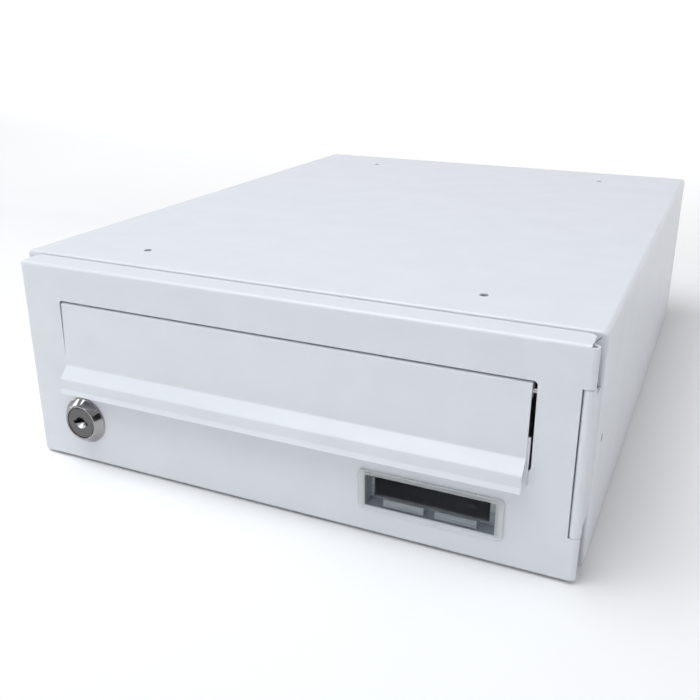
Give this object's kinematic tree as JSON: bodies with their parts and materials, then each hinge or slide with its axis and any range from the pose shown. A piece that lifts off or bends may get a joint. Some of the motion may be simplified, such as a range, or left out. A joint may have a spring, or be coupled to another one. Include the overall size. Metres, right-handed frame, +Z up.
{
  "type": "letterbox unit",
  "caption": "White sheet-steel letterbox unit with a side-hinged door, letter flap, cam lock and name plate window.",
  "frame": {"origin": "centre of the body's underside, which rests on a shelf or on the unit below", "axes": "+X to the right seen from the front, +Y from the door to the back, +Z up"},
  "size_m": [0.3, 0.3933, 0.11],
  "materials": {
    "white_paint": "satin powder coat",
    "pin_steel": "plain drawn steel",
    "clear_plastic": "clear moulded plastic",
    "lock_chrome": "bright chrome",
    "plug_metal": "dark satin die casting",
    "wafer_brass": "plain brass",
    "zinc_steel": "zinc plated"
  },
  "bodies": {
    "body": {"body_wrap": "white_paint", "back_panel": "white_paint", "hinge_leaf": "white_paint", "hinge_pin": "pin_steel"},
    "door": {"door_panel": "white_paint", "flap_bracket_left": "white_paint", "flap_bracket_right": "white_paint", "flap_rod": "pin_steel", "rod_collars": "pin_steel", "nameplate_window": "clear_plastic", "nameplate_retainer": "clear_plastic", "lock_housing": "lock_chrome", "lock_nut": "zinc_steel"},
    "flap": {"letter_flap": "white_paint", "flap_stop_strip": "white_paint"},
    "lock_core": {"lock_plug": "plug_metal", "lock_wafers": "wafer_brass", "stop_washer": "zinc_steel", "lock_cam": "zinc_steel", "cam_washer": "zinc_steel", "cam_screw": "zinc_steel"}
  },
  "joints": [
    {"name": "door_hinge", "type": "hinge", "parent": "body", "child": "door", "pos_m": [0.14655, -0.19755, 0.055], "axis": [0, 0, 1], "range_deg": [0, 170]},
    {"name": "flap_hinge", "type": "hinge", "parent": "door", "child": "flap", "pos_m": [0, -0.1973, 0.0854], "axis": [-1, 0, 0], "range_deg": [0, 80]},
    {"name": "lock_turn", "type": "hinge", "parent": "door", "child": "lock_core", "pos_m": [-0.1095, -0.1885, 0.0253], "axis": [0, -1, 0], "range_deg": [0, 90]}
  ]
}
